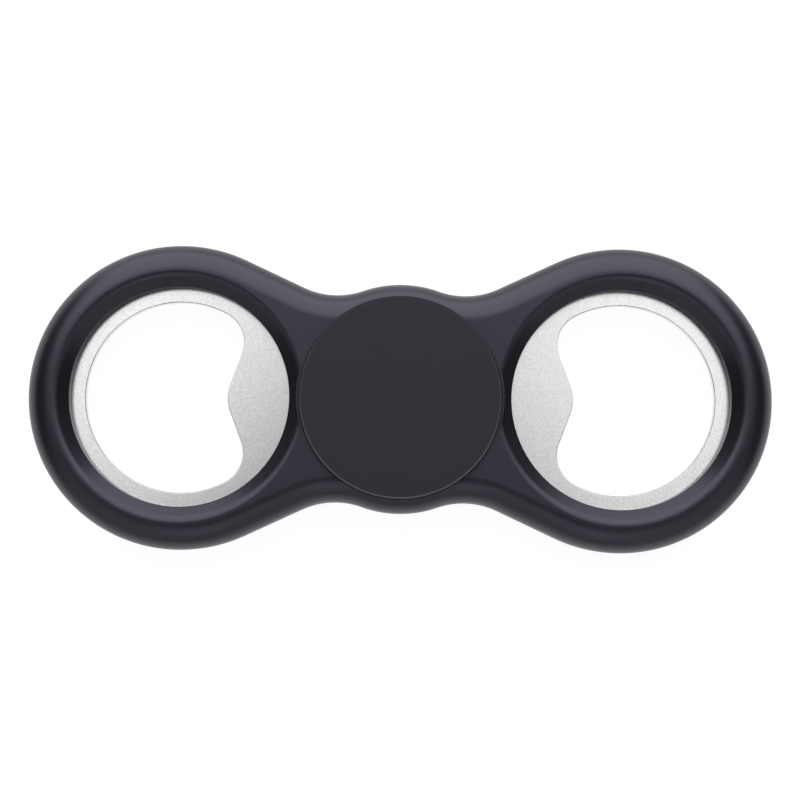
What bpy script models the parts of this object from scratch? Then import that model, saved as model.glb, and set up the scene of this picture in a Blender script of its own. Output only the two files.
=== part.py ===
"""Two-lobed fidget spinner with a steel bottle-opener plate in each lobe, piece by piece.

Every piece is modelled about the middle of the hub, where the two body shells meet, and hangs
on an empty there. The spin axis is Z, the lobes lie along X and the rear cap's face is at Z = 0.
Lengths in the values below are millimetres and angles are degrees.
"""

import math

import bmesh
import bpy

MM = 0.001

# Body outline: a hub disc and two lobe discs, joined by straight flanks and concave fillets
LOBE_OFFSET = 34.15
LOBE_RADIUS = 23.75
HUB_RADIUS = 17.9
FLANK_ANGLE = 25.0
WAIST_RADIUS = 12.2

# Body section, as heights above the parting plane
SHELL_HEIGHT = 5.0
SIDE_WALL = 0.6
EDGE_WIDTH = 4.15
PARTING_GAP = 0.1
BEVEL_TOP_RADIUS = 19.0
WINDOW_RADIUS = 17.05
WINDOW_WALL_TOP = 3.3
HUB_LAND_RADIUS = 16.15
RECESS_RADIUS = 15.9
RECESS_FLOOR = 4.3

# Opener plates
PLATE_THICKNESS = 2.0
PLATE_RADIUS = 20.5
PLATE_FLAT = 19.0
HOLE_RADIUS = 14.77
POCKET_REACH = 9.75
POCKET_RADIUS = 4.2
TOOTH_REACH = 7.45
TOOTH_RADIUS = 7.0

# Ball bearing of the common 8 x 22 x 7 size
BEARING_RADIUS = 11.0
BEARING_BORE = 4.0
BEARING_HALF_WIDTH = 3.5
BALL_COUNT = 7
BALL_RADIUS = 1.984
PITCH_RADIUS = 7.5
GROOVE_RADIUS = 2.1
INNER_SHOULDER = 6.05
OUTER_SHOULDER = 8.95
CAGE_INNER = 6.6
CAGE_OUTER = 8.4
CAGE_SHEET = 0.3
CAGE_CLEARANCE = 0.12
CAGE_SEAM = 0.1
SHIELD_STEP = 2.55
SHIELD_SEAT_RADIUS = 9.65
SHIELD_BOTTOM = 2.65
SHIELD_SHEET = 0.3
SHIELD_RADIUS = 9.5
SHIELD_HOLE = 6.25
SNAP_GROOVE = (3.0, 3.36)
SNAP_GROOVE_RADIUS = 9.85
SNAP_WIRE_RADIUS = 0.15
SNAP_RING_RADIUS = 9.6
SNAP_RING_GAP = 30.0

# Finger caps
CAP_RADIUS = 15.55
CAP_BOTTOM = 4.55
CAP_TOP = 6.2
CAP_CHAMFER = 0.2
CAP_BOSS_RADIUS = 5.6
CAP_SPIGOT_END = 0.15

# Fits and location
SEAT_GAP = 0.15
PLATE_GAP = 0.3
BEARING_GAP = 0.3
LIP_RADIUS = 9.8
PIN_PLACE = (11.6, 12.6)
PIN_RADIUS = 1.2
PIN_LENGTH = 1.5
PIN_GAP = 0.3
PIN_ROOT = 1.0

# Facets
LOBE_STEPS = 26
WAIST_STEPS = 4
HUB_STEPS = 5
EDGE_STEPS = 5
TURN_STEPS = 48
BEARING_STEPS = 32
POCKET_STEPS = 6
TOOTH_STEPS = 6
GROOVE_STEPS = 6
RIBBON_STEPS = 8
PIN_STEPS = 12
WIRE_SIDES = 6
BALL_SEGMENTS = 14
BALL_RINGS = 8
SMOOTH_UNDER = 30.0
WELD = 0.001
CUT_PAST = 1.0
AXIS_MARK = 5.0


def arc(centre, radius, start, end, steps):
    """Points on an arc from the start angle to the end angle, both ends included."""
    turns = [math.radians(start + (end - start) * i / steps) for i in range(steps + 1)]
    return [(centre[0] + radius * math.cos(t), centre[1] + radius * math.sin(t)) for t in turns]


def material(name, colour, roughness, metallic):
    made = bpy.data.materials.new(name)
    made.use_nodes = True
    shader = made.node_tree.nodes["Principled BSDF"]
    shader.inputs["Base Color"].default_value = (*colour, 1.0)
    shader.inputs["Roughness"].default_value = roughness
    shader.inputs["Metallic"].default_value = metallic
    return made


def mesh_of(name, bm):
    """The finished mesh of a bmesh, with its normals out and its round faces shaded smooth."""
    bmesh.ops.remove_doubles(bm, verts=bm.verts, dist=WELD * MM)
    bmesh.ops.recalc_face_normals(bm, faces=bm.faces)
    mesh = bpy.data.meshes.new(name)
    bm.to_mesh(mesh)
    bm.free()
    mesh.shade_smooth()
    mesh.set_sharp_from_angle(angle=math.radians(SMOOTH_UNDER))
    return mesh


def lofted(name, rings, closed=False):
    """A solid skinned over rings of points, capped at its ends or closed into a ring."""
    bm = bmesh.new()
    loops = []
    corners = []
    for ring in rings:
        verts = [bm.verts.new([c * MM for c in point]) for point in ring]
        corners.append(verts)
        loops.append([bm.edges.new((a, b)) for a, b in zip(verts, verts[1:] + verts[:1])])
    for one, other in zip(loops, loops[1:] + loops[:1] * closed):
        bmesh.ops.bridge_loops(bm, edges=one + other)
    if not closed:
        bm.faces.new(corners[0])
        bm.faces.new(corners[-1])
    return mesh_of(name, bm)


def prism(name, outline, low, high):
    return lofted(name, [[(x, y, z) for x, y in outline] for z in (low, high)])


def turned(name, profile, steps):
    """A solid of revolution about Z from (radius, height) points, closed or from axis to axis."""
    bm = bmesh.new()
    verts = [bm.verts.new((r * MM, 0, z * MM)) for r, z in profile]
    sides = [(a, b) for a, b in zip(verts, verts[1:] + verts[:1]) if a.co.x or b.co.x]
    edges = [bm.edges.new(ends) for ends in sides]
    bmesh.ops.spin(
        bm,
        geom=verts + edges,
        cent=(0, 0, 0),
        axis=(0, 0, 1),
        angle=2 * math.pi,
        steps=steps,
        use_merge=True,
    )
    return mesh_of(name, bm)


def placed(name, mesh, finish, parent, location=(0, 0, 0), rotation=(0, 0, 0)):
    """A piece on its empty, at a place in millimetres and a rotation in degrees."""
    piece = bpy.data.objects.new(name, mesh)
    bpy.context.scene.collection.objects.link(piece)
    piece.parent = parent
    piece.location = [c * MM for c in location]
    piece.rotation_euler = [math.radians(a) for a in rotation]
    if not mesh.materials:
        mesh.materials.append(finish)
    return piece


def pair(front, rear, mesh, finish, parent):
    """The same piece on the front and, turned over about X, on the rear."""
    placed(front, mesh, finish, parent)
    placed(rear, mesh, finish, parent, rotation=(180, 0, 0))


def combined(name, start, tools):
    """The mesh left once each (operation, mesh, x place) tool has been applied to the start."""
    work = bpy.data.objects.new(name, start)
    bpy.context.scene.collection.objects.link(work)
    helpers = []
    for operation, mesh, x in tools:
        helper = bpy.data.objects.new(name + "_tool", mesh)
        bpy.context.scene.collection.objects.link(helper)
        helper.location.x = x * MM
        helper.hide_render = True
        helper.display_type = "WIRE"
        helpers.append(helper)
        boolean = work.modifiers.new(operation.lower(), "BOOLEAN")
        boolean.operation = operation
        boolean.object = helper
    bpy.context.view_layer.update()
    graph = bpy.context.evaluated_depsgraph_get()
    result = bpy.data.meshes.new_from_object(work.evaluated_get(graph))
    for helper in helpers + [work]:
        bpy.data.objects.remove(helper)
    result.name = name
    result.shade_smooth()
    result.set_sharp_from_angle(angle=math.radians(SMOOTH_UNDER))
    return result


def axis_empty(name, parent, location):
    """An empty on a joint's axis, at a place in millimetres."""
    empty = bpy.data.objects.new(name, None)
    bpy.context.scene.collection.objects.link(empty)
    empty.parent = parent
    empty.location = [c * MM for c in location]
    empty.empty_display_size = AXIS_MARK * MM
    return empty


def body_outline(inset):
    """The body's outline moved inwards by inset, anticlockwise. Its arcs keep their centres."""
    slope = math.radians(FLANK_ANGLE)
    across = (-math.sin(slope), math.cos(slope))
    along = (math.cos(slope), math.sin(slope))
    flank = LOBE_RADIUS - LOBE_OFFSET * math.sin(slope)
    rise = flank + WAIST_RADIUS
    run = math.sqrt((HUB_RADIUS + WAIST_RADIUS) ** 2 - rise**2)
    waist = (rise * across[0] + run * along[0], rise * across[1] + run * along[1])
    waist_turn = math.degrees(math.atan2(waist[1], waist[0]))
    lobe_end = 90 + FLANK_ANGLE
    lobe = arc((LOBE_OFFSET, 0), LOBE_RADIUS - inset, -lobe_end, lobe_end, LOBE_STEPS)
    fillet = arc(waist, WAIST_RADIUS + inset, FLANK_ANGLE - 90, waist_turn - 180, WAIST_STEPS)
    hub = arc((0, 0), HUB_RADIUS - inset, waist_turn, 180 - waist_turn, HUB_STEPS)
    upper_left = [(-x, y) for x, y in reversed(fillet)]
    half = lobe + fillet + hub[1:-1] + upper_left
    return half + [(-x, -y) for x, y in half]


def plate_outline(gap):
    """The opener plate's round edge with the flat that stops it turning, on the side towards -X."""
    half_angle = math.degrees(math.acos(PLATE_FLAT / PLATE_RADIUS))
    edge = arc((0, 0), PLATE_RADIUS, half_angle - 180, 180 - half_angle, TURN_STEPS)
    grow = 1 + gap / PLATE_RADIUS
    return [(x * grow, y * grow) for x, y in edge]


def opening_outline():
    """The hole, with its lifting tooth towards -X between two pockets."""
    pocket_x = POCKET_REACH - POCKET_RADIUS
    pocket_y = math.sqrt((HOLE_RADIUS - POCKET_RADIUS) ** 2 - pocket_x**2)
    tooth_x = TOOTH_REACH + TOOTH_RADIUS
    join = math.degrees(math.atan2(pocket_y, pocket_x))
    between = math.hypot(tooth_x - pocket_x, pocket_y)
    lean = math.degrees(math.asin((TOOTH_RADIUS + POCKET_RADIUS) / between))
    line = math.degrees(math.atan2(pocket_y, pocket_x - tooth_x)) - lean
    wall = arc((0, 0), HOLE_RADIUS, join, 360 - join, TURN_STEPS)
    lower = arc((pocket_x, -pocket_y), POCKET_RADIUS, -join, 90 - line, POCKET_STEPS)
    tip = arc((tooth_x, 0), TOOTH_RADIUS, 270 - line, 90 + line, TOOTH_STEPS)
    upper = [(x, -y) for x, y in reversed(lower)]
    points = wall + lower[1:] + tip + upper[:-1]
    return [(-x, -y) for x, y in points]


def shell_mesh():
    """One half of the body, which the other half repeats turned over."""
    edge = [(0, PARTING_GAP / 2), (0, SIDE_WALL)]
    rise = SHELL_HEIGHT - SIDE_WALL
    for i in range(1, EDGE_STEPS + 1):
        turn = math.radians(90 * i / EDGE_STEPS)
        edge.append((EDGE_WIDTH * (1 - math.cos(turn)), SIDE_WALL + rise * math.sin(turn)))
    start = lofted("shell_blank", [[(x, y, z) for x, y in body_outline(o)] for o, z in edge])

    bevel_run = BEVEL_TOP_RADIUS - WINDOW_RADIUS
    bevel_rise = SHELL_HEIGHT - WINDOW_WALL_TOP
    window = turned(
        "window_tool",
        [
            (0, SHELL_HEIGHT + CUT_PAST),
            (BEVEL_TOP_RADIUS + bevel_run * CUT_PAST / bevel_rise, SHELL_HEIGHT + CUT_PAST),
            (WINDOW_RADIUS, WINDOW_WALL_TOP),
            (WINDOW_RADIUS, -CUT_PAST),
            (0, -CUT_PAST),
        ],
        TURN_STEPS,
    )
    half_facet = 180 / TURN_STEPS
    land_circle = arc((0, 0), HUB_LAND_RADIUS, half_facet, 360 + half_facet, TURN_STEPS)[:-1]
    land = prism("land_tool", land_circle, -2 * CUT_PAST, SHELL_HEIGHT + 2 * CUT_PAST)
    right_window = combined("right_window_tool", window, [("DIFFERENCE", land, -LOBE_OFFSET)])
    left_window = combined("left_window_tool", window, [("DIFFERENCE", land, LOBE_OFFSET)])

    ceiling = PLATE_THICKNESS / 2 + SEAT_GAP
    seat = plate_outline(PLATE_GAP)
    right_seat = prism("right_seat_tool", seat, -CUT_PAST, ceiling)
    left_seat = prism("left_seat_tool", [(-x, -y) for x, y in seat], -CUT_PAST, ceiling)
    pocket_top = BEARING_HALF_WIDTH + SEAT_GAP
    pocket_radius = BEARING_RADIUS + BEARING_GAP
    hub = turned(
        "hub_tool",
        [
            (0, SHELL_HEIGHT + CUT_PAST),
            (RECESS_RADIUS, SHELL_HEIGHT + CUT_PAST),
            (RECESS_RADIUS, RECESS_FLOOR),
            (LIP_RADIUS, RECESS_FLOOR),
            (LIP_RADIUS, pocket_top),
            (pocket_radius, pocket_top),
            (pocket_radius, -CUT_PAST),
            (0, -CUT_PAST),
        ],
        TURN_STEPS,
    )
    tools = [("DIFFERENCE", hub, 0)]
    for tool in (right_window, right_seat):
        tools.append(("DIFFERENCE", tool, LOBE_OFFSET))
    for tool in (left_window, left_seat):
        tools.append(("DIFFERENCE", tool, -LOBE_OFFSET))
    pin_x, pin_y = PIN_PLACE
    pin_circle = arc((0, pin_y), PIN_RADIUS, 0, 360, PIN_STEPS)[:-1]
    pin = prism("pin_tool", pin_circle, -PIN_LENGTH, PIN_ROOT)
    socket_circle = arc((0, -pin_y), PIN_RADIUS + PIN_GAP, 0, 360, PIN_STEPS)[:-1]
    socket = prism("socket_tool", socket_circle, -CUT_PAST, PIN_LENGTH + PIN_GAP)
    for x in (pin_x, -pin_x):
        tools += [("UNION", pin, x), ("DIFFERENCE", socket, x)]
    return combined("shell", start, tools)


def plate_mesh():
    """A stamped opener plate, centred on its own hole, with its tooth towards -X."""
    half = PLATE_THICKNESS / 2
    blank = prism("plate_blank", plate_outline(0), -half, half)
    opening = prism("opening_tool", opening_outline(), -half - CUT_PAST, half + CUT_PAST)
    return combined("opener_plate", blank, [("DIFFERENCE", opening, 0)])


def groove(shoulder, facing):
    """A race's ball groove, from the top down. Facing is 1 on the outer race, -1 on the inner."""
    half = math.degrees(math.acos(abs(shoulder - PITCH_RADIUS) / GROOVE_RADIUS))
    points = arc((0, 0), GROOVE_RADIUS, half, -half, GROOVE_STEPS)
    return [(PITCH_RADIUS + facing * x, z) for x, z in points]


def outer_race_mesh():
    seat = [
        (BEARING_RADIUS, BEARING_HALF_WIDTH),
        (SHIELD_SEAT_RADIUS, BEARING_HALF_WIDTH),
        (SHIELD_SEAT_RADIUS, SNAP_GROOVE[1]),
        (SNAP_GROOVE_RADIUS, SNAP_GROOVE[1]),
        (SNAP_GROOVE_RADIUS, SNAP_GROOVE[0]),
        (SHIELD_SEAT_RADIUS, SNAP_GROOVE[0]),
        (SHIELD_SEAT_RADIUS, SHIELD_STEP),
        (OUTER_SHOULDER, SHIELD_STEP),
    ]
    lower = [(r, -z) for r, z in reversed(seat)]
    return turned("outer_race", seat + groove(OUTER_SHOULDER, 1) + lower, BEARING_STEPS)


def inner_race_mesh():
    top = [(BEARING_BORE, BEARING_HALF_WIDTH), (INNER_SHOULDER, BEARING_HALF_WIDTH)]
    bottom = [(r, -z) for r, z in reversed(top)]
    return turned("inner_race", top + groove(INNER_SHOULDER, -1) + bottom, BEARING_STEPS)


def cage_mesh():
    """Half of a pressed ribbon cage, a strip that arches over each ball and lies flat between."""
    inside = BALL_RADIUS + CAGE_CLEARANCE
    outside = inside + CAGE_SHEET
    low, high = CAGE_SEAM, CAGE_SEAM + CAGE_SHEET
    foot_in = math.asin(low / inside)
    foot_out = math.asin(high / outside)
    half_spacing = math.pi * PITCH_RADIUS / BALL_COUNT
    section = [((-half_spacing, low), (-half_spacing, high))]
    for i in range(RIBBON_STEPS + 1):
        share = i / RIBBON_STEPS
        turn_in = math.pi - foot_in - share * (math.pi - 2 * foot_in)
        turn_out = math.pi - foot_out - share * (math.pi - 2 * foot_out)
        under = (inside * math.cos(turn_in), inside * math.sin(turn_in))
        over = (outside * math.cos(turn_out), outside * math.sin(turn_out))
        section.append((under, over))
    rings = []
    for ball in range(BALL_COUNT):
        for under, over in section:
            ring = []
            below = [(*under, CAGE_INNER), (*under, CAGE_OUTER)]
            above = [(*over, CAGE_OUTER), (*over, CAGE_INNER)]
            for s, z, radius in below + above:
                turn = 2 * math.pi * ball / BALL_COUNT + s / PITCH_RADIUS
                ring.append((radius * math.cos(turn), radius * math.sin(turn), z))
            rings.append(ring)
    return lofted("ribbon_cage", rings, closed=True)


def ball_mesh():
    bm = bmesh.new()
    bmesh.ops.create_uvsphere(
        bm, u_segments=BALL_SEGMENTS, v_segments=BALL_RINGS, radius=BALL_RADIUS * MM
    )
    return mesh_of("ball", bm)


def shield_mesh():
    top = SHIELD_BOTTOM + SHIELD_SHEET
    profile = [
        (SHIELD_HOLE, top),
        (SHIELD_RADIUS, top),
        (SHIELD_RADIUS, SHIELD_BOTTOM),
        (SHIELD_HOLE, SHIELD_BOTTOM),
    ]
    return turned("bearing_shield", profile, BEARING_STEPS)


def snap_ring_mesh():
    """An open ring of spring wire, with its gap towards +Y."""
    height = sum(SNAP_GROOVE) / 2
    start, end = 90 + SNAP_RING_GAP / 2, 450 - SNAP_RING_GAP / 2
    rings = []
    for x, y in arc((0, 0), 1.0, start, end, BEARING_STEPS):
        wire = arc((SNAP_RING_RADIUS, height), SNAP_WIRE_RADIUS, 0, 360, WIRE_SIDES)[:-1]
        rings.append([(r * x, r * y, z) for r, z in wire])
    return lofted("snap_ring", rings)


def cap_mesh():
    """A finger cap: a flat disc, a boss on the inner race and a spigot pressed into its bore."""
    spigot = BEARING_BORE - SEAT_GAP
    boss_end = BEARING_HALF_WIDTH + SEAT_GAP
    profile = [
        (0, CAP_TOP),
        (CAP_RADIUS - CAP_CHAMFER, CAP_TOP),
        (CAP_RADIUS, CAP_TOP - CAP_CHAMFER),
        (CAP_RADIUS, CAP_BOTTOM),
        (CAP_BOSS_RADIUS, CAP_BOTTOM),
        (CAP_BOSS_RADIUS, boss_end),
        (spigot, boss_end),
        (spigot, CAP_SPIGOT_END),
        (0, CAP_SPIGOT_END),
    ]
    return turned("finger_cap", profile, TURN_STEPS)


for old in list(bpy.data.objects):
    bpy.data.objects.remove(old)

black_abs = material("black_abs", (0.018, 0.018, 0.021), 0.38, 0.0)
cap_abs = material("matte_black_abs", (0.026, 0.026, 0.029), 0.5, 0.0)
blasted_steel = material("blasted_steel", (0.72, 0.72, 0.71), 0.42, 1.0)
bearing_steel = material("bearing_steel", (0.55, 0.56, 0.58), 0.2, 1.0)
ball_steel = material("ball_steel", (0.62, 0.63, 0.65), 0.08, 1.0)
sheet_steel = material("sheet_steel", (0.6, 0.6, 0.6), 0.3, 1.0)

hub = axis_empty("hub_centre", None, (0, 0, CAP_TOP))
spin = axis_empty("spin_axis", hub, (0, 0, 0))
orbit = axis_empty("cage_axis", hub, (0, 0, 0))

placed("inner_race", inner_race_mesh(), bearing_steel, hub)
pair("front_cap", "rear_cap", cap_mesh(), cap_abs, hub)

pair("front_shell", "rear_shell", shell_mesh(), black_abs, spin)
opener = plate_mesh()
placed("right_opener", opener, blasted_steel, spin, (LOBE_OFFSET, 0, 0))
placed("left_opener", opener, blasted_steel, spin, (-LOBE_OFFSET, 0, 0), (0, 0, 180))
placed("outer_race", outer_race_mesh(), bearing_steel, spin)
pair("front_shield", "rear_shield", shield_mesh(), sheet_steel, spin)
pair("front_snap_ring", "rear_snap_ring", snap_ring_mesh(), sheet_steel, spin)

pair("front_cage", "rear_cage", cage_mesh(), sheet_steel, orbit)
ball = ball_mesh()
for number in range(BALL_COUNT):
    turn = 2 * math.pi * number / BALL_COUNT
    place = (PITCH_RADIUS * math.cos(turn), PITCH_RADIUS * math.sin(turn), 0)
    placed(f"ball_{number + 1}", ball, ball_steel, orbit, place)
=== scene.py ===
"""Looks of a two-lobed fidget spinner with a steel bottle-opener plate in each lobe."""
import math
import bpy
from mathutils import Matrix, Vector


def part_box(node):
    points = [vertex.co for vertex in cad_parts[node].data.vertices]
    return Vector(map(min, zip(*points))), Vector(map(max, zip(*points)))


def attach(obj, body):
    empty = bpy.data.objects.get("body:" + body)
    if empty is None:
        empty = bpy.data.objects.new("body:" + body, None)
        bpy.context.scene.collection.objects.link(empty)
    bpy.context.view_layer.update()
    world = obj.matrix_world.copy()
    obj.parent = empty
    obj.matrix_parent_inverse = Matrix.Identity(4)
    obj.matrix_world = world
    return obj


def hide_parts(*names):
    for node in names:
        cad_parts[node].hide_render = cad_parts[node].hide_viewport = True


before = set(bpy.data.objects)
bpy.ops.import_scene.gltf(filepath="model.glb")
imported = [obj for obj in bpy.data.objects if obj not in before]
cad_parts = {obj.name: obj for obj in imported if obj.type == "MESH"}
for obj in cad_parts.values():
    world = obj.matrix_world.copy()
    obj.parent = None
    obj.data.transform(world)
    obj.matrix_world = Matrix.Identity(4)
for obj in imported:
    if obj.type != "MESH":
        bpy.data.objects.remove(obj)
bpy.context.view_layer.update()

# Ball bearing
# A standard 8 x 22 x 7 mm bearing sits in the hub, out of sight under the caps: ground rings, lapped balls,
# and a cage, shields and wire rings pressed from sheet and wire. The solids keep their shape and get steel.
MM = 0.001
ball_count = 7


def linear(hex_colour):
    """An sRGB hex colour as linear red, green, blue and alpha."""
    parts = [int(hex_colour[i : i + 2], 16) / 255 for i in (1, 3, 5)]
    return [c / 12.92 if c <= 0.04045 else ((c + 0.055) / 1.055) ** 2.4 for c in parts] + [1.0]


def add_node(tree, kind, inputs=None, **settings):
    """A node with its settings made, and each input either linked from a socket or set to a value."""
    node = tree.nodes.new(kind)
    for name, value in settings.items():
        setattr(node, name, value)
    for name, value in (inputs or {}).items():
        if isinstance(value, bpy.types.NodeSocket):
            tree.links.new(value, node.inputs[name])
        else:
            node.inputs[name].default_value = value
    return node


def start_material(name):
    """A new material with its node tree, its shader and its Object coordinates."""
    made = bpy.data.materials.new(name)
    made.use_nodes = True
    tree = made.node_tree
    place = add_node(tree, "ShaderNodeTexCoord").outputs["Object"]
    return made, tree, tree.nodes["Principled BSDF"], place


# Chrome bearing steel: bright, with the faint mottle that grinding leaves
ground_steel, tree, shader, place = start_material("ground bearing steel")
grind_mottle = 0.25 * MM
mottle = add_node(tree, "ShaderNodeTexNoise", {"Vector": place, "Scale": 1 / grind_mottle, "Detail": 2.0})
tone = add_node(tree, "ShaderNodeValToRGB", {"Fac": mottle.outputs["Fac"]})
tone.color_ramp.elements[0].color = linear("#b4b6ba")
tone.color_ramp.elements[1].color = linear("#cfd1d4")
tree.links.new(tone.outputs["Color"], shader.inputs["Base Color"])
shader.inputs["Metallic"].default_value = 1.0
shader.inputs["Roughness"].default_value = 0.22

# Lapped balls: nearly a mirror, with a trace of oil that clouds it in patches
lapped_steel, tree, shader, place = start_material("lapped ball steel")
oil_patch = 1.2 * MM
oil = add_node(tree, "ShaderNodeTexNoise", {"Vector": place, "Scale": 1 / oil_patch, "Detail": 2.0})
cloud = add_node(
    tree, "ShaderNodeMapRange", {"Value": oil.outputs["Fac"], "To Min": 0.05, "To Max": 0.16}
)
tree.links.new(cloud.outputs["Result"], shader.inputs["Roughness"])
shader.inputs["Base Color"].default_value = linear("#d2d4d8")
shader.inputs["Metallic"].default_value = 1.0

# Pressed sheet: duller than the rings, with the fine mill grain of rolled strip
pressed_steel, tree, shader, place = start_material("pressed sheet steel")
mill_grain = 0.12 * MM
mill = add_node(tree, "ShaderNodeTexNoise", {"Vector": place, "Scale": 1 / mill_grain, "Detail": 3.0})
dull = add_node(
    tree, "ShaderNodeMapRange", {"Value": mill.outputs["Fac"], "To Min": 0.26, "To Max": 0.42}
)
tree.links.new(dull.outputs["Result"], shader.inputs["Roughness"])
shader.inputs["Base Color"].default_value = linear("#c3c4c5")
shader.inputs["Metallic"].default_value = 1.0

bearing_finish = {"outer_race": ground_steel, "inner_race": ground_steel}
for number in range(1, ball_count + 1):
    bearing_finish[f"ball_{number}"] = lapped_steel
for side in ("front", "rear"):
    for pressed in ("cage", "shield", "snap_ring"):
        bearing_finish[f"{side}_{pressed}"] = pressed_steel
for node_name, finish in bearing_finish.items():
    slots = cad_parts[node_name].data.materials
    slots.clear()
    slots.append(finish)

# Opener plates
# Each lobe holds a 2 mm plate stamped from stainless strip and bead blasted. Its hole takes a crown cork, and
# the tooth on the hub side lifts the skirt. The rim of the plate is trapped between the shells.
low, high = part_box("right_opener")
plate_thickness = high[2] - low[2]
parting = (high[2] + low[2]) / 2
plate_radius = (high[1] - low[1]) / 2
lobe_offset = high[0] - plate_radius
plate_flat = low[0]
hole_radius = 14.87 * MM
pocket_reach = 9.72 * MM
pocket_radius = 5.1 * MM
pocket_steps = 24
tooth_reach = 7.25 * MM
tooth_radius = 6.4 * MM
tooth_steps = 20
stamped_edge = 0.16 * MM
stamped_corner = math.radians(60)
smooth_under = math.radians(32)
fine_turn = 192
past = 1.0 * MM


def arc(centre, radius, start, end, steps):
    """Points on an arc from the start angle to the end angle in degrees, both ends included."""
    turns = [math.radians(start + (end - start) * i / steps) for i in range(steps + 1)]
    return [(centre[0] + radius * math.cos(t), centre[1] + radius * math.sin(t)) for t in turns]


def to_object_mode():
    """Leaves edit mode if it is on."""
    if bpy.context.mode != "OBJECT":
        bpy.ops.object.mode_set(mode="OBJECT")


def pick(obj):
    """Object mode, with only this object selected and active."""
    to_object_mode()
    bpy.ops.object.select_all(action="DESELECT")
    obj.select_set(True)
    bpy.context.view_layer.objects.active = obj


def into_edit(obj, mode="EDGE"):
    """Only this object open in edit mode, with nothing of its mesh selected."""
    pick(obj)
    bpy.ops.object.mode_set(mode="EDIT")
    bpy.ops.mesh.select_mode(type=mode)
    bpy.ops.mesh.select_all(action="DESELECT")


def select_edges(obj, wanted):
    """In edit mode, selects only the edges whose two end points both satisfy wanted."""
    bpy.ops.mesh.select_mode(type="EDGE")
    bpy.ops.mesh.select_all(action="DESELECT")
    bpy.ops.object.mode_set(mode="OBJECT")
    points = obj.data.vertices
    for edge in obj.data.edges:
        edge.select = all(wanted(points[i].co) for i in edge.vertices)
    bpy.ops.object.mode_set(mode="EDIT")


def select_faces(obj, wanted):
    """In edit mode, selects only the faces whose normal satisfies wanted."""
    bpy.ops.mesh.select_mode(type="FACE")
    bpy.ops.mesh.select_all(action="DESELECT")
    bpy.ops.object.mode_set(mode="OBJECT")
    for face in obj.data.polygons:
        face.select = wanted(face.normal)
    bpy.ops.object.mode_set(mode="EDIT")


def round_blank(name, radius, thickness, place):
    """A round blank centred on a place, with that place in its mesh."""
    to_object_mode()
    bpy.ops.object.select_all(action="DESELECT")
    bpy.ops.mesh.primitive_cylinder_add(vertices=fine_turn, radius=radius, depth=thickness, location=place)
    blank = bpy.context.object
    blank.name = name
    bpy.ops.object.transform_apply(location=True, rotation=True, scale=True)
    return blank


def flat_outline(name, points, height):
    """A new object that is one flat face with this outline."""
    mesh = bpy.data.meshes.new(name)
    mesh.from_pydata([(x, y, height) for x, y in points], [], [range(len(points))])
    obj = bpy.data.objects.new(name, mesh)
    bpy.context.scene.collection.objects.link(obj)
    return obj


def raise_outline(obj, rise):
    """Extrudes a flat outline upwards into a solid, and leaves the object in edit mode."""
    into_edit(obj, "FACE")
    bpy.ops.mesh.select_all(action="SELECT")
    bpy.ops.mesh.extrude_region_move(TRANSFORM_OT_translate={"value": (0, 0, rise)})
    bpy.ops.mesh.select_all(action="SELECT")
    bpy.ops.mesh.normals_make_consistent(inside=False)


def cut(obj, cutter):
    """Cuts one object from another and removes the cutter."""
    to_object_mode()
    boolean = obj.modifiers.new("cut", "BOOLEAN")
    boolean.operation = "DIFFERENCE"
    boolean.object = cutter
    bpy.context.view_layer.objects.active = obj
    bpy.ops.object.modifier_apply(modifier=boolean.name)
    bpy.data.objects.remove(cutter)


def turned_over(obj, name, axis):
    """A copy with its own mesh, turned half round the hub: about X to the rear, or about Z to the left."""
    to_object_mode()
    copy = obj.copy()
    copy.data = obj.data.copy()
    copy.name = name
    copy.data.name = name
    bpy.context.scene.collection.objects.link(copy)
    pick(copy)
    if axis == "X":
        copy.location = (0, 0, 2 * parting)
        copy.rotation_euler = (math.pi, 0, 0)
    else:
        copy.rotation_euler = (0, 0, math.pi)
    bpy.ops.object.transform_apply(location=True, rotation=True, scale=True)
    return copy


def finish_piece(obj, finish, body, node_name):
    """Shades a finished piece, gives it its material, and puts it on its body in place of its solid."""
    pick(obj)
    bpy.ops.object.shade_smooth_by_angle(angle=smooth_under)
    flats = obj.modifiers.new("flats", "WEIGHTED_NORMAL")
    flats.keep_sharp = True
    bpy.ops.object.modifier_apply(modifier=flats.name)
    obj.data.materials.clear()
    obj.data.materials.append(finish)
    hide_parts(node_name)
    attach(obj, body)


def opening_outline(centre_x):
    """The hole, with its tooth towards the hub: round wall, two pockets, straight flanks and a round tip."""
    pocket_x = pocket_reach - pocket_radius
    pocket_y = math.sqrt((hole_radius - pocket_radius) ** 2 - pocket_x**2)
    tooth_x = tooth_reach + tooth_radius
    join = math.degrees(math.atan2(pocket_y, pocket_x))
    between = math.hypot(tooth_x - pocket_x, pocket_y)
    lean = math.degrees(math.asin((tooth_radius + pocket_radius) / between))
    line = math.degrees(math.atan2(pocket_y, pocket_x - tooth_x)) - lean
    wall = arc((0, 0), hole_radius, join, 360 - join, fine_turn)
    lower = arc((pocket_x, -pocket_y), pocket_radius, -join, 90 - line, pocket_steps)
    tip = arc((tooth_x, 0), tooth_radius, 270 - line, 90 + line, tooth_steps)
    upper = [(x, -y) for x, y in reversed(lower)]
    return [(centre_x - x, -y) for x, y in wall + lower[1:] + tip + upper[:-1]]


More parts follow.
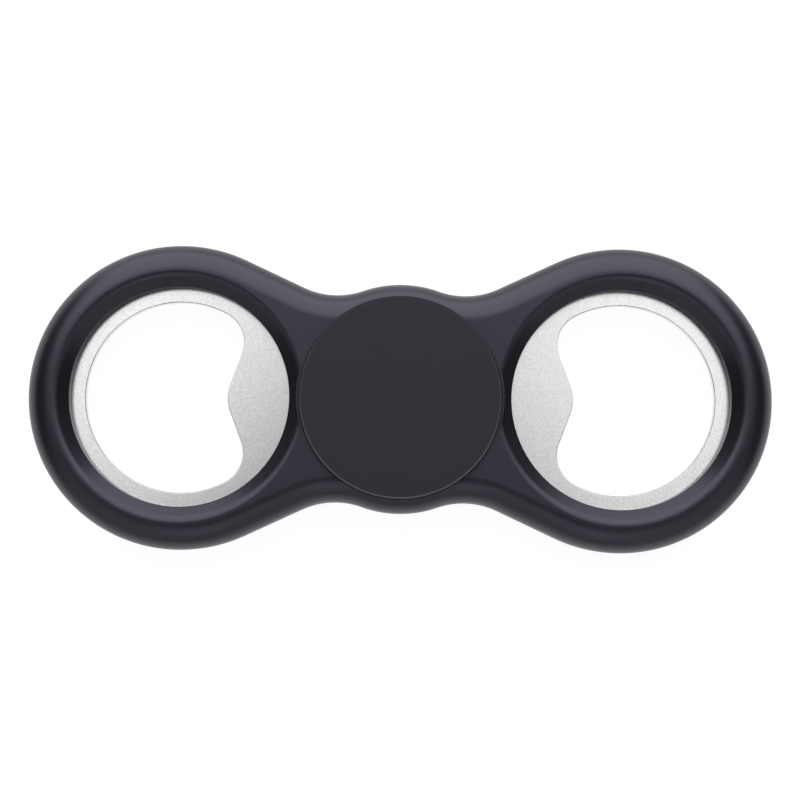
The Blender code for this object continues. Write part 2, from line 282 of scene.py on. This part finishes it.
right_plate = round_blank("right_plate", plate_radius, plate_thickness, (lobe_offset, 0, parting))
into_edit(right_plate)
bpy.ops.mesh.select_all(action="SELECT")
bpy.ops.mesh.bisect(
    plane_co=(plate_flat, 0, parting), plane_no=(-1, 0, 0), use_fill=True, clear_outer=True
)
hole = flat_outline("opening_tool", opening_outline(lobe_offset), parting - plate_thickness / 2 - past)
raise_outline(hole, plate_thickness + 2 * past)
cut(right_plate, hole)
into_edit(right_plate)
bpy.ops.mesh.edges_select_sharp(sharpness=stamped_corner)
bpy.ops.mesh.bevel(offset=stamped_edge, offset_type="OFFSET", segments=3, profile=0.6, affect="EDGES")
left_plate = turned_over(right_plate, "left_plate", "Z")

# Bead-blasted stainless steel: the beads leave a mat of shallow dents, so the plate is pale and even with a
# fine glitter. The dents are about 0.1 mm on the real plate and are drawn nearly three times that to show.
blasted_steel, tree, shader, place = start_material("bead-blasted stainless steel")
dent_size = 0.28 * MM
dent_depth = 0.012 * MM
blast_patch = 2.5 * MM
dents = add_node(tree, "ShaderNodeTexNoise", {"Vector": place, "Scale": 1 / dent_size, "Detail": 3.0})
patches = add_node(tree, "ShaderNodeTexNoise", {"Vector": place, "Scale": 1 / blast_patch, "Detail": 2.0})
tone = add_node(tree, "ShaderNodeValToRGB", {"Fac": dents.outputs["Fac"]})
tone.color_ramp.elements[0].position = 0.32
tone.color_ramp.elements[1].position = 0.68
tone.color_ramp.elements[0].color = linear("#dadada")
tone.color_ramp.elements[1].color = linear("#e9e9e9")
matt = add_node(
    tree, "ShaderNodeMapRange", {"Value": patches.outputs["Fac"], "To Min": 0.19, "To Max": 0.23}
)
relief = add_node(
    tree, "ShaderNodeBump", {"Height": dents.outputs["Fac"], "Strength": 0.09, "Distance": dent_depth}
)
tree.links.new(tone.outputs["Color"], shader.inputs["Base Color"])
tree.links.new(matt.outputs["Result"], shader.inputs["Roughness"])
tree.links.new(relief.outputs["Normal"], shader.inputs["Normal"])
shader.inputs["Metallic"].default_value = 1.0

finish_piece(right_plate, blasted_steel, "spinner", "right_opener")
finish_piece(left_plate, blasted_steel, "spinner", "left_opener")

# Body shells
# Two identical ABS mouldings, one turned over on the other and welded at the parting line, carry everything.
# The rim is rolled over, each lobe has a bevelled window over its plate, and the hub is bored for the
# bearing and recessed for the cap.
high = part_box("front_shell")[1]
shell_height = high[2] - parting
lobe_radius = high[1]
lobe_steps = 130
hub_radius = 17.9 * MM
hub_steps = 22
waist_radius = 12.2 * MM
waist_steps = 20
flank_angle = 25.0
parting_gap = 0.05 * MM
rim_roll = 4.15 * MM
rim_steps = 20
seam_break = 0.12 * MM
bevel_top_radius = 18.95 * MM
window_radius = 17.05 * MM
window_offset = lobe_offset + 0.1 * MM
window_wall = 3.3 * MM
crest_round = 1.7 * MM
crest_steps = 8
sill_round = 0.15 * MM
sill_steps = 3
land_radius = 16.15 * MM
land_round = 0.12 * MM
land_steps = 4
recess_radius = 15.76 * MM
recess_floor = 4.3 * MM
seat_radius = plate_radius + 0.3 * MM
seat_ceiling = plate_thickness / 2 + 0.15 * MM
bearing_seat = 11.3 * MM
bearing_ceiling = 3.65 * MM
hub_opening = 9.8 * MM
tool_flare = 0.1 * MM
tool_skim = 0.002 * MM
hair = 0.01 * MM


def body_outline():
    """Hub and lobe arcs joined by straight flanks and concave waists, anticlockwise."""
    slope = math.radians(flank_angle)
    across = (-math.sin(slope), math.cos(slope))
    along = (math.cos(slope), math.sin(slope))
    rise = lobe_radius - lobe_offset * math.sin(slope) + waist_radius
    run = math.sqrt((hub_radius + waist_radius) ** 2 - rise**2)
    waist = (rise * across[0] + run * along[0], rise * across[1] + run * along[1])
    waist_turn = math.degrees(math.atan2(waist[1], waist[0]))
    lobe_end = 90 + flank_angle
    lobe = arc((lobe_offset, 0), lobe_radius, -lobe_end, lobe_end, lobe_steps)
    fillet = arc(waist, waist_radius, flank_angle - 90, waist_turn - 180, waist_steps)
    hub = arc((0, 0), hub_radius, waist_turn, 180 - waist_turn, hub_steps)
    half = lobe + fillet + hub[1:-1] + [(-x, y) for x, y in reversed(fillet)]
    return half + [(-x, -y) for x, y in half]


def round_tool(name, x, rings):
    """A round cutter on an upright axis: a disc extruded and scaled through rings of (radius, height)."""
    to_object_mode()
    bpy.ops.object.select_all(action="DESELECT")
    radius, height = rings[0]
    bpy.ops.mesh.primitive_circle_add(
        vertices=fine_turn, radius=radius, fill_type="NGON", location=(x, 0, parting + height)
    )
    tool = bpy.context.object
    tool.name = name
    bpy.ops.object.transform_apply(location=True, rotation=True, scale=True)
    into_edit(tool, "FACE")
    bpy.ops.mesh.select_all(action="SELECT")
    for (r0, z0), (r1, z1) in zip(rings, rings[1:]):
        bpy.ops.mesh.extrude_region_move(TRANSFORM_OT_translate={"value": (0, 0, z1 - z0)})
        bpy.ops.transform.resize(value=(r1 / r0, r1 / r0, 1), center_override=(x, 0, parting + z1))
    bpy.ops.mesh.select_all(action="SELECT")
    bpy.ops.mesh.normals_make_consistent(inside=False)
    bpy.ops.object.mode_set(mode="OBJECT")
    return tool


front_moulding = flat_outline("front_moulding", body_outline(), parting + parting_gap)
raise_outline(front_moulding, shell_height - parting_gap)
select_edges(front_moulding, lambda co: co.z > parting + shell_height - hair)
bpy.ops.mesh.bevel(
    offset=rim_roll,
    offset_type="OFFSET",
    segments=rim_steps,
    profile=0.5,
    affect="EDGES",
    clamp_overlap=False,
)
select_edges(front_moulding, lambda co: co.z < parting + parting_gap + hair)
bpy.ops.mesh.bevel(offset=seam_break, offset_type="OFFSET", segments=2, profile=0.5, affect="EDGES")

# The window tool's outline: upright wall, rounded sill, straight bevel, and a crest rounded into the flat
# top. Its crest ends a skim above the top, so that the tool and the moulding share no face.
bevel_slope = math.atan2(shell_height - window_wall, bevel_top_radius - window_radius)
sill_lift = sill_round * math.tan((math.pi / 2 - bevel_slope) / 2)
crest_radius = bevel_top_radius + crest_round * math.tan(bevel_slope / 2)
bevel_turn = 90 + math.degrees(bevel_slope)
sill_centre = (window_radius + sill_round, window_wall - sill_lift)
crest_centre = (crest_radius, shell_height - crest_round)
window_rings = [(window_radius, -past)]
window_rings += arc(sill_centre, sill_round, 180, bevel_turn, sill_steps)
window_rings += arc(crest_centre, crest_round, bevel_turn, 90, crest_steps)[:-1]
window_rings += [(crest_radius, shell_height + tool_skim), (crest_radius + tool_flare, shell_height + past)]

# The land tool takes the hub's rounded land out of the window tool, so that the land stays on the moulding
land_centre = (land_radius - land_round, shell_height - land_round)
land_rings = [(land_radius, -2 * past)]
land_rings += arc(land_centre, land_round, 0, 90, land_steps)
land_rings += [(land_radius - 1.2 * land_round, shell_height + 2 * past)]

hub_rings = [
    (bearing_seat, -past),
    (bearing_seat, bearing_ceiling),
    (hub_opening, bearing_ceiling + hair),
    (hub_opening, recess_floor),
    (recess_radius, recess_floor + hair),
    (recess_radius, shell_height + past),
]
seat_rings = [(seat_radius, -past), (seat_radius, seat_ceiling)]
cut(front_moulding, round_tool("hub_tool", 0, hub_rings))
for side in (1, -1):
    window = round_tool("window_tool", side * window_offset, window_rings)
    cut(window, round_tool("land_tool", 0, land_rings))
    cut(front_moulding, window)
    cut(front_moulding, round_tool("seat_tool", side * lobe_offset, seat_rings))
rear_moulding = turned_over(front_moulding, "rear_moulding", "X")

# Black ABS with a slight blue cast: moulded in a spark-eroded tool, so a fine even grain softens its gloss.
# The grain is nearer 0.05 mm on the real body and is drawn coarser so that it shows.
black_abs, tree, shader, place = start_material("black ABS, satin moulded")
tool_grain = 0.22 * MM
grain_depth = 0.006 * MM
handling_patch = 9 * MM
grain = add_node(tree, "ShaderNodeTexNoise", {"Vector": place, "Scale": 1 / tool_grain, "Detail": 2.0})
handling = add_node(
    tree, "ShaderNodeTexNoise", {"Vector": place, "Scale": 1 / handling_patch, "Detail": 3.0}
)
tone = add_node(tree, "ShaderNodeValToRGB", {"Fac": grain.outputs["Fac"]})
tone.color_ramp.elements[0].color = linear("#0b0b0f")
tone.color_ramp.elements[1].color = linear("#111116")
gloss = add_node(
    tree, "ShaderNodeMapRange", {"Value": handling.outputs["Fac"], "To Min": 0.32, "To Max": 0.38}
)
relief = add_node(
    tree, "ShaderNodeBump", {"Height": grain.outputs["Fac"], "Strength": 0.35, "Distance": grain_depth}
)
tree.links.new(tone.outputs["Color"], shader.inputs["Base Color"])
tree.links.new(gloss.outputs["Result"], shader.inputs["Roughness"])
tree.links.new(relief.outputs["Normal"], shader.inputs["Normal"])
shader.inputs["Specular Tint"].default_value = linear("#e2e4fc")
shader.inputs["IOR"].default_value = 1.54
shader.inputs["Specular IOR Level"].default_value = 0.57

finish_piece(front_moulding, black_abs, "spinner", "front_shell")
finish_piece(rear_moulding, black_abs, "spinner", "rear_shell")

# Finger caps
# A flat disc of matt black ABS for thumb and finger on each face, with a low lip round its edge. A boss under
# it bears on the bearing's inner ring, and a spigot is pressed into the 8 mm bore.
low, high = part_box("front_cap")
cap_radius = high[0] + 0.08 * MM
cap_top = high[2]
cap_thickness = 1.65 * MM
lip_width = 0.27 * MM
lip_height = 0.14 * MM
boss_radius = 5.6 * MM
boss_length = 0.9 * MM
spigot_radius = 3.85 * MM
spigot_length = cap_top - cap_thickness - boss_length - low[2]
edge_round = 0.12 * MM
moulded_corner = math.radians(40)
nearly_level = 0.9

front_disc = round_blank("front_disc", cap_radius, cap_thickness, (0, 0, cap_top - cap_thickness / 2))
into_edit(front_disc, "FACE")
select_faces(front_disc, lambda normal: normal.z < -nearly_level)
bpy.ops.mesh.inset(thickness=cap_radius - boss_radius)
bpy.ops.mesh.extrude_region_move(TRANSFORM_OT_translate={"value": (0, 0, -boss_length)})
bpy.ops.mesh.inset(thickness=boss_radius - spigot_radius)
bpy.ops.mesh.extrude_region_move(TRANSFORM_OT_translate={"value": (0, 0, -spigot_length)})
select_faces(front_disc, lambda normal: normal.z > nearly_level)
bpy.ops.mesh.inset(thickness=lip_width)
bpy.ops.transform.translate(value=(0, 0, -lip_height))
bpy.ops.mesh.select_mode(type="EDGE")
bpy.ops.mesh.select_all(action="DESELECT")
bpy.ops.mesh.edges_select_sharp(sharpness=moulded_corner)
bpy.ops.mesh.bevel(offset=edge_round, offset_type="OFFSET", segments=3, profile=0.5, affect="EDGES")
rear_disc = turned_over(front_disc, "rear_disc", "X")

# Matt black ABS: a deeper spark grain than the body's, so the face stays flat grey under any light, and a lip
# that handling has rubbed smoother, with a paler band painted round it as a painted highlight of its edge.
# The grain is drawn coarser than the real one, about 0.1 mm.
matt_abs, tree, shader, place = start_material("black ABS, matt moulded")
face_grain = 0.3 * MM
face_depth = 0.008 * MM
rubbed_patch = 6 * MM
edge_band_start = cap_radius - 1.5 * lip_width
edge_band_full = cap_radius - 0.8 * lip_width
grain = add_node(tree, "ShaderNodeTexNoise", {"Vector": place, "Scale": 1 / face_grain, "Detail": 3.0})
rubbing = add_node(tree, "ShaderNodeTexNoise", {"Vector": place, "Scale": 1 / rubbed_patch, "Detail": 3.0})
tone = add_node(tree, "ShaderNodeValToRGB", {"Fac": grain.outputs["Fac"]})
tone.color_ramp.elements[0].color = linear("#121216")
tone.color_ramp.elements[1].color = linear("#19191f")
flat_place = add_node(tree, "ShaderNodeVectorMath", {0: place, 1: (1, 1, 0)}, operation="MULTIPLY")
from_axis = add_node(tree, "ShaderNodeVectorMath", {0: flat_place.outputs[0]}, operation="LENGTH")
# A band round the lip: it paints a pale highlight into the base colour there, and also lowers the roughness.
painted_highlight_and_wear_band = add_node(
    tree,
    "ShaderNodeMapRange",
    {"Value": from_axis.outputs["Value"], "From Min": edge_band_start, "From Max": edge_band_full},
)
# Painted highlight: the lip's band is drawn paler than the face, in place of light caught along the cap's
# edge.
painted_lip_highlight = add_node(
    tree,
    "ShaderNodeMix",
    {0: painted_highlight_and_wear_band.outputs["Result"], 6: tone.outputs["Color"], 7: linear("#2d2d32")},
    data_type="RGBA",
)
gloss = add_node(
    tree, "ShaderNodeMapRange", {"Value": rubbing.outputs["Fac"], "To Min": 0.48, "To Max": 0.58}
)
worn_gloss = add_node(
    tree, "ShaderNodeMix", {0: painted_highlight_and_wear_band.outputs["Result"], 2: gloss.outputs["Result"], 3: 0.3}, data_type="FLOAT"
)
relief = add_node(
    tree, "ShaderNodeBump", {"Height": grain.outputs["Fac"], "Strength": 0.4, "Distance": face_depth}
)
tree.links.new(painted_lip_highlight.outputs[2], shader.inputs["Base Color"])
tree.links.new(worn_gloss.outputs[0], shader.inputs["Roughness"])
tree.links.new(relief.outputs["Normal"], shader.inputs["Normal"])
shader.inputs["Specular Tint"].default_value = linear("#ececfc")
shader.inputs["IOR"].default_value = 1.54
shader.inputs["Specular IOR Level"].default_value = 0.33

finish_piece(front_disc, matt_abs, "caps", "front_cap")
finish_piece(rear_disc, matt_abs, "caps", "rear_cap")

# Table
# A plain white sweep under the spinner. It is white to the eye and in reflections, and the grey paper under
# that glow still takes the shadow.
table_size = 6.0
sweep_glow = 0.94
bpy.ops.object.select_all(action="DESELECT")
bpy.ops.mesh.primitive_plane_add(size=table_size, location=(0, 0, 0))
table = bpy.context.object
table.name = "table"
white_sweep = bpy.data.materials.new("white sweep")
white_sweep.use_nodes = True
tree = white_sweep.node_tree
tree.nodes.clear()
ray = add_node(tree, "ShaderNodeLightPath")
seen = add_node(
    tree,
    "ShaderNodeMath",
    {0: ray.outputs["Is Camera Ray"], 1: ray.outputs["Is Glossy Ray"]},
    operation="MAXIMUM",
)
seen_through = add_node(
    tree,
    "ShaderNodeMath",
    {0: seen.outputs[0], 1: ray.outputs["Is Transmission Ray"]},
    operation="MAXIMUM",
)
own = add_node(tree, "ShaderNodeMath", {0: seen_through.outputs[0], 1: sweep_glow}, operation="MULTIPLY")
glow = add_node(
    tree, "ShaderNodeEmission", {"Color": linear("#ffffff"), "Strength": own.outputs[0]}
)
paper = add_node(tree, "ShaderNodeBsdfDiffuse", {"Color": linear("#626262")})
both = add_node(tree, "ShaderNodeAddShader", {0: glow.outputs[0], 1: paper.outputs[0]})
add_node(tree, "ShaderNodeOutputMaterial", {"Surface": both.outputs[0]})
table.data.materials.append(white_sweep)

# Studio light
# A large soft box beyond the spinner lights the far rims, and two weaker ones in front fill the near rims.
# Two small ones overhead are what the plates mirror, and the room gives a low even fill.
room_fill = 0.045
room_white = 0.95


def soft_box(name, place, width, depth, power):
    """A rectangular lamp, in metres and watts, turned to face the middle of the spinner."""
    lamp = bpy.data.lights.new(name, "AREA")
    lamp.shape = "RECTANGLE"
    lamp.size = width
    lamp.size_y = depth
    lamp.energy = power
    obj = bpy.data.objects.new(name, lamp)
    bpy.context.scene.collection.objects.link(obj)
    obj.location = place
    reach = [a - p for a, p in zip((0, 0, parting), place)]
    flat = math.hypot(reach[0], reach[1])
    obj.rotation_euler = (math.atan2(flat, -reach[2]), 0, math.atan2(-reach[0], reach[1]))


soft_box("far_box", (0, 0.73, 0.549), width=1.6, depth=1.37, power=17.3)
soft_box("near_left_box", (-0.41, -0.64, 0.56), width=1.12, depth=1.1, power=2.6)
soft_box("near_right_box", (0.41, -0.64, 0.56), width=1.12, depth=1.1, power=2.6)
soft_box("left_top_box", (-0.33, 0.225, 1.12), width=0.34, depth=0.6, power=0.8)
soft_box("right_top_box", (0.315, 0.19, 1.12), width=0.34, depth=0.6, power=0.76)
room = bpy.data.worlds.new("studio")
room.use_nodes = True
tree = room.node_tree
ray = add_node(tree, "ShaderNodeLightPath")
pale = add_node(
    tree,
    "ShaderNodeMapRange",
    {"Value": ray.outputs["Is Camera Ray"], "To Min": room_fill, "To Max": room_white},
)
tree.nodes["Background"].inputs["Color"].default_value = linear("#ffffff")
tree.links.new(pale.outputs["Result"], tree.nodes["Background"].inputs["Strength"])
bpy.context.scene.world = room
bpy.context.scene.view_settings.view_transform = "Standard"

# Camera
# A long lens nearly straight above the spinner, leaning a little towards the near side. The frame's width is
# measured at the parting line.
eye_distance = 320 * MM
eye_lean = math.radians(3.6)
eye_roll = math.radians(0.463)
frame_width = 125.14 * MM
aim_x = -0.043 * MM
aim_y = -0.085 * MM
lens = bpy.data.cameras.new("camera")
lens.sensor_width = 36.0
lens.lens = lens.sensor_width * eye_distance / frame_width
lens.clip_start = 0.01
lens.clip_end = 50.0
camera = bpy.data.objects.new("camera", lens)
bpy.context.scene.collection.objects.link(camera)
camera.rotation_mode = "ZYX"
camera.rotation_euler = (eye_lean, 0, eye_roll)
camera.location = (
    aim_x,
    aim_y - eye_distance * math.sin(eye_lean),
    parting + eye_distance * math.cos(eye_lean),
)
bpy.context.scene.camera = camera
